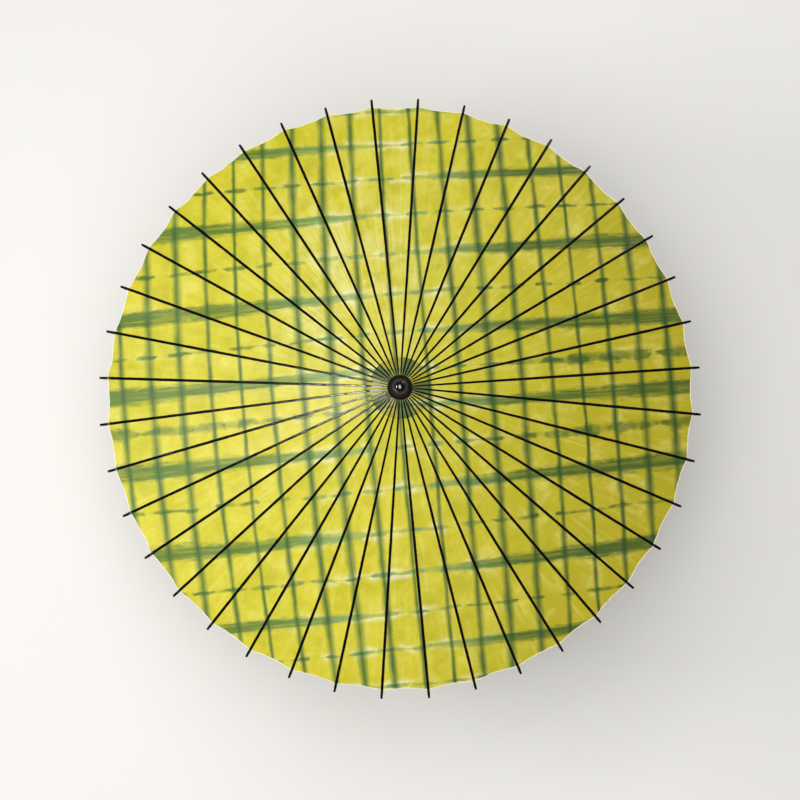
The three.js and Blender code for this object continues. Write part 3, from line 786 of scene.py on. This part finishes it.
THREAD_STEPS = RIB_COUNT * 4
TIE_RADIUS = 0.02125
TIE_SECTION = 0.00045
TIE_SIDES = 8
TIE_BELOW_PIVOT = 0.0006
TIE_BOB = 0.00012
BINDING_TURNS = 4
BINDING_SECTION = 0.0002
BINDING_SIDES = 6
BINDING_PITCH = 2.1 * BINDING_SECTION
BINDING_START = HEAD_RADIUS + 0.0003
BINDING_GAP = 0.0001
BINDING_BOB = 0.00006


def thread_section(turn, radius, height, section, sides):
    """Points round a thread's own section where it passes turn, at a radius and a height."""
    points = []
    for t in np.linspace(0, 2 * math.pi, sides, endpoint=False):
        out = radius + section * math.cos(t)
        points.append((out * math.cos(turn), out * math.sin(turn), height + section * math.sin(t)))
    return points


def runner_tie():
    """A ring of thread that ties the struts' roots down to the runner."""
    rings = []
    for i in range(THREAD_STEPS):
        turn = 2 * math.pi * i / THREAD_STEPS
        height = RUNNER_PIVOT_Z - TIE_BELOW_PIVOT + TIE_BOB * math.cos(RIB_COUNT * turn)
        rings.append(thread_section(turn, TIE_RADIUS, height, TIE_SECTION, TIE_SIDES))
    faces = ring_faces(THREAD_STEPS, TIE_SIDES, closed=True)
    piece = make_mesh("runner_tie", np.array(rings).reshape(-1, 3), faces, [MATERIALS["thread"]])
    clean_up(piece)
    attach(piece, "runner")


def hub_binding():
    """Turns of dark thread on the paper's inner edge, side by side, that tie it down round the hub's head."""
    on_paper = PAPER_UNDER + PAPER_THICKNESS + DISC_STEP
    rings = []
    for i in range(BINDING_TURNS * THREAD_STEPS + 1):
        turn = 2 * math.pi * i / THREAD_STEPS
        radius = BINDING_START + BINDING_PITCH * i / THREAD_STEPS
        paper = PIVOT_Z + on_paper / math.cos(OPEN_SLOPE) - (radius - PIVOT_RADIUS) * math.tan(OPEN_SLOPE)
        height = paper + (BINDING_SECTION + BINDING_GAP + BINDING_BOB * math.cos(RIB_COUNT * turn))
        rings.append(thread_section(turn, radius, height, BINDING_SECTION, BINDING_SIDES))
    faces = ring_faces(len(rings), BINDING_SIDES)
    piece = make_mesh("hub_binding", np.array(rings).reshape(-1, 3), faces, [MATERIALS["dyed_thread"]])
    clean_up(piece)
    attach(piece, "root")
    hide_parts("hub_thread")


# ---- grip --------------------------------------------------------------------------------

WINDING_PITCH = 0.0046
WINDING_CROWN = 0.0009
ROWS_PER_WINDING = 7
FIBRES_ROUND = 6
GRIP_SIDES = 72
GRIP_BORE = 0.0084
GRIP_WAIST = 0.0008
GRIP_EDGE = 0.0009
GRIP_EDGE_LENGTH = 0.0012


def wound_grip():
    """The grip: rattan strip wound round the handle, each turn crowned, with a smooth bore."""
    low, high, outer = GRIP_LOW.z, GRIP_HIGH.z, GRIP_HIGH.x
    length = high - low
    rows = round(length / WINDING_PITCH * ROWS_PER_WINDING)
    heights = low + length * np.arange(rows + 1) / rows
    rings, winding = [], []
    for z in heights:
        part = (z - low) / length
        waist = outer - GRIP_WAIST * math.sin(math.pi * part) - WINDING_CROWN
        edge = GRIP_EDGE * (1 - smoothstep(0, GRIP_EDGE_LENGTH, min(z - low, high - z)))
        ring = []
        for j in range(GRIP_SIDES):
            turn = 2 * math.pi * j / GRIP_SIDES
            v = (z - low) / WINDING_PITCH - j / GRIP_SIDES
            crown = max(0.0, 1 - (2 * abs(v % 1 - 0.5)) ** 3)
            radius = waist + WINDING_CROWN * crown ** 0.6 - edge
            ring.append((radius * math.cos(turn), radius * math.sin(turn), z))
            winding.append((j / GRIP_SIDES * FIBRES_ROUND, v))
        rings.append(ring)
    turns = [2 * math.pi * j / GRIP_SIDES for j in range(GRIP_SIDES)]
    for z in (high, low):
        rings.append([(GRIP_BORE * math.cos(turn), GRIP_BORE * math.sin(turn), z) for turn in turns])
        winding += [(0, 0.5)] * GRIP_SIDES
    faces = ring_faces(len(rings), GRIP_SIDES, closed=True)
    piece = make_mesh("wound_grip", np.array(rings).reshape(-1, 3), faces, [MATERIALS["rattan"]])
    layer = piece.data.uv_layers.new(name="winding")
    corners = [loop.vertex_index for loop in piece.data.loops]
    layer.data.foreach_set("uv", np.array(winding)[corners].ravel())
    clean_up(piece)
    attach(piece, "root")
    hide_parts("grip")


# ---- CAD nodes ---------------------------------------------------------------------------

WELD_DISTANCE = 1e-6
EDGE_ROUNDING = 0.0002
ROUNDED_FROM = math.radians(35)
SPLIT_FROM = math.radians(32)
NODE_MATERIALS = {
    "shaft": "gloss", "finial": "gloss", "grip_collar": "gloss", "end_cap": "gloss",
    "top_hub": "wood", "runner": "wood",
    "hub_pin": "honey_bamboo", "catch_pin": "honey_bamboo", "catch_leaf": "honey_bamboo",
}


def dress_node(name, material):
    """Gives a CAD node its material, softened edges and smooth shading."""
    node = frame["nodes"][name]
    node.data.materials.clear()
    node.data.materials.append(material)
    node.data.polygons.foreach_set("use_smooth", [True] * len(node.data.polygons))
    weld = node.modifiers.new("weld", "WELD")
    weld.merge_threshold = WELD_DISTANCE
    edges = node.modifiers.new("bevel", "BEVEL")
    edges.width, edges.segments, edges.limit_method = EDGE_ROUNDING, 2, "ANGLE"
    edges.angle_limit = ROUNDED_FROM
    sharp = node.modifiers.new("sharp", "EDGE_SPLIT")
    sharp.split_angle = SPLIT_FROM


for node_name, material_name in NODE_MATERIALS.items():
    dress_node(node_name, MATERIALS[material_name])

for number, rib_hinge in enumerate(HINGES):
    rib_azimuth = math.atan2(rib_hinge["pos_m"][1], rib_hinge["pos_m"][0])
    rib_axes = local_axes(rib_azimuth, OPEN_SLOPE)
    dress_node(rib_hinge["child"], MATERIALS["dyed_bamboo"])
    paper_gore(rib_hinge, rib_azimuth, rib_axes)
    rib_coat(rib_hinge, rib_axes, number)
    strut(rib_hinge, rib_azimuth, number)

hub_binding()
runner_tie()
wound_grip()

# ---- floor, lights and camera ------------------------------------------------------------

FLOOR_SIZE = 14.0
FLOOR_Z = -0.0002
LIGHTS_AIM = Vector((0, 0, 0.68))
CEILING_POWER = 1.6
CEILING_SPREAD = math.radians(32)
SKY_COLOUR = (0.95, 0.97, 1.0, 1)
SKY_LOW, SKY_HIGH = 0.05, 0.6
SKY_AT_HORIZON, SKY_OVERHEAD = 0.56, 0.09
CAMERA_DISTANCE = 3.732
CAMERA_ELEVATION = math.radians(85.98)
CAMERA_AZIMUTH = math.radians(-1.0)
CAMERA_SHIFT = 0.0058
CAMERA_CLIP = (0.05, 60)
LENS_MM = 108.0
SENSOR_MM = 36.0


def studio_floor():
    corners = [(x * FLOOR_SIZE, y * FLOOR_SIZE, FLOOR_Z) for x, y in ((-1, -1), (1, -1), (1, 1), (-1, 1))]
    make_mesh("floor", corners, [(0, 1, 2, 3)], [pale_floor()])


def area_light(name, azimuth, elevation, distance, size, power):
    """A soft box at a direction from the hub, turned to face it. size is (width, height)."""
    data = bpy.data.lights.new(name, "AREA")
    data.shape, data.size, data.size_y = "RECTANGLE", *size
    data.energy = power
    light = bpy.data.objects.new(name, data)
    a, e = math.radians(azimuth), math.radians(elevation)
    direction = Vector((math.cos(a) * math.cos(e), math.sin(a) * math.cos(e), math.sin(e)))
    light.location = LIGHTS_AIM + direction * distance
    light.rotation_mode = "QUATERNION"
    light.rotation_quaternion = direction.to_track_quat("Z", "Y")
    bpy.context.scene.collection.objects.link(light)


def ceiling_light():
    """Soft even light straight down, which keeps the floor pale."""
    data = bpy.data.lights.new("ceiling", "SUN")
    data.energy, data.angle = CEILING_POWER, CEILING_SPREAD
    bpy.context.scene.collection.objects.link(bpy.data.objects.new("ceiling", data))


def studio_world():
    """Surroundings that are pale at the horizon and dark overhead, so that lacquer looks black from above."""
    world = bpy.data.worlds.new("studio")
    world.use_nodes = True
    tree = world.node_tree
    background = next(n for n in tree.nodes if n.type == "BACKGROUND")
    direction = tree.nodes.new("ShaderNodeTexCoord")
    parts = tree.nodes.new("ShaderNodeSeparateXYZ")
    strength = tree.nodes.new("ShaderNodeMapRange")
    strength.interpolation_type = "SMOOTHSTEP"
    limits = {"From Min": SKY_LOW, "From Max": SKY_HIGH, "To Min": SKY_AT_HORIZON, "To Max": SKY_OVERHEAD}
    for key, value in limits.items():
        strength.inputs[key].default_value = value
    tree.links.new(direction.outputs["Generated"], parts.inputs[0])
    tree.links.new(parts.outputs["Z"], strength.inputs["Value"])
    tree.links.new(strength.outputs[0], background.inputs["Strength"])
    background.inputs["Color"].default_value = SKY_COLOUR
    bpy.context.scene.world = world


def photo_camera():
    """The camera, four degrees off the umbrella's axis, looking near the middle of the circle of rib tips."""
    rim_centre = UP * (PIVOT_Z - RIB_LENGTH * math.sin(OPEN_SLOPE))
    level = math.cos(CAMERA_ELEVATION)
    back_x, back_y = math.sin(CAMERA_AZIMUTH) * level, -math.cos(CAMERA_AZIMUTH) * level
    back = Vector((back_x, back_y, math.sin(CAMERA_ELEVATION)))
    lens = bpy.data.cameras.new("camera")
    lens.lens, lens.sensor_width = LENS_MM, SENSOR_MM
    lens.clip_start, lens.clip_end = CAMERA_CLIP
    camera = bpy.data.objects.new("camera", lens)
    bpy.context.scene.collection.objects.link(camera)
    camera.rotation_mode = "QUATERNION"
    camera.rotation_quaternion = back.to_track_quat("Z", "Y")
    view_up = camera.rotation_quaternion @ Vector((0, 1, 0))
    camera.location = rim_centre + back * CAMERA_DISTANCE - view_up * CAMERA_SHIFT
    bpy.context.scene.camera = camera


studio_floor()
area_light("left_window", 181, 46, 2.4, (0.95, 0.09), 24)
area_light("low_window", 214, 12, 2.8, (2.2, 0.35), 13)
area_light("top_soft_box", 120, 75, 3.0, (1.5, 1.1), 36)
area_light("front_fill", 262, 75, 3.2, (1.6, 1.2), 38)
area_light("right_window", 56, 14, 2.6, (0.4, 1.2), 6)
ceiling_light()
studio_world()
photo_camera()
bpy.context.scene.view_settings.view_transform = "Standard"

# ---- last update -------------------------------------------------------------------------

bpy.context.view_layer.update()
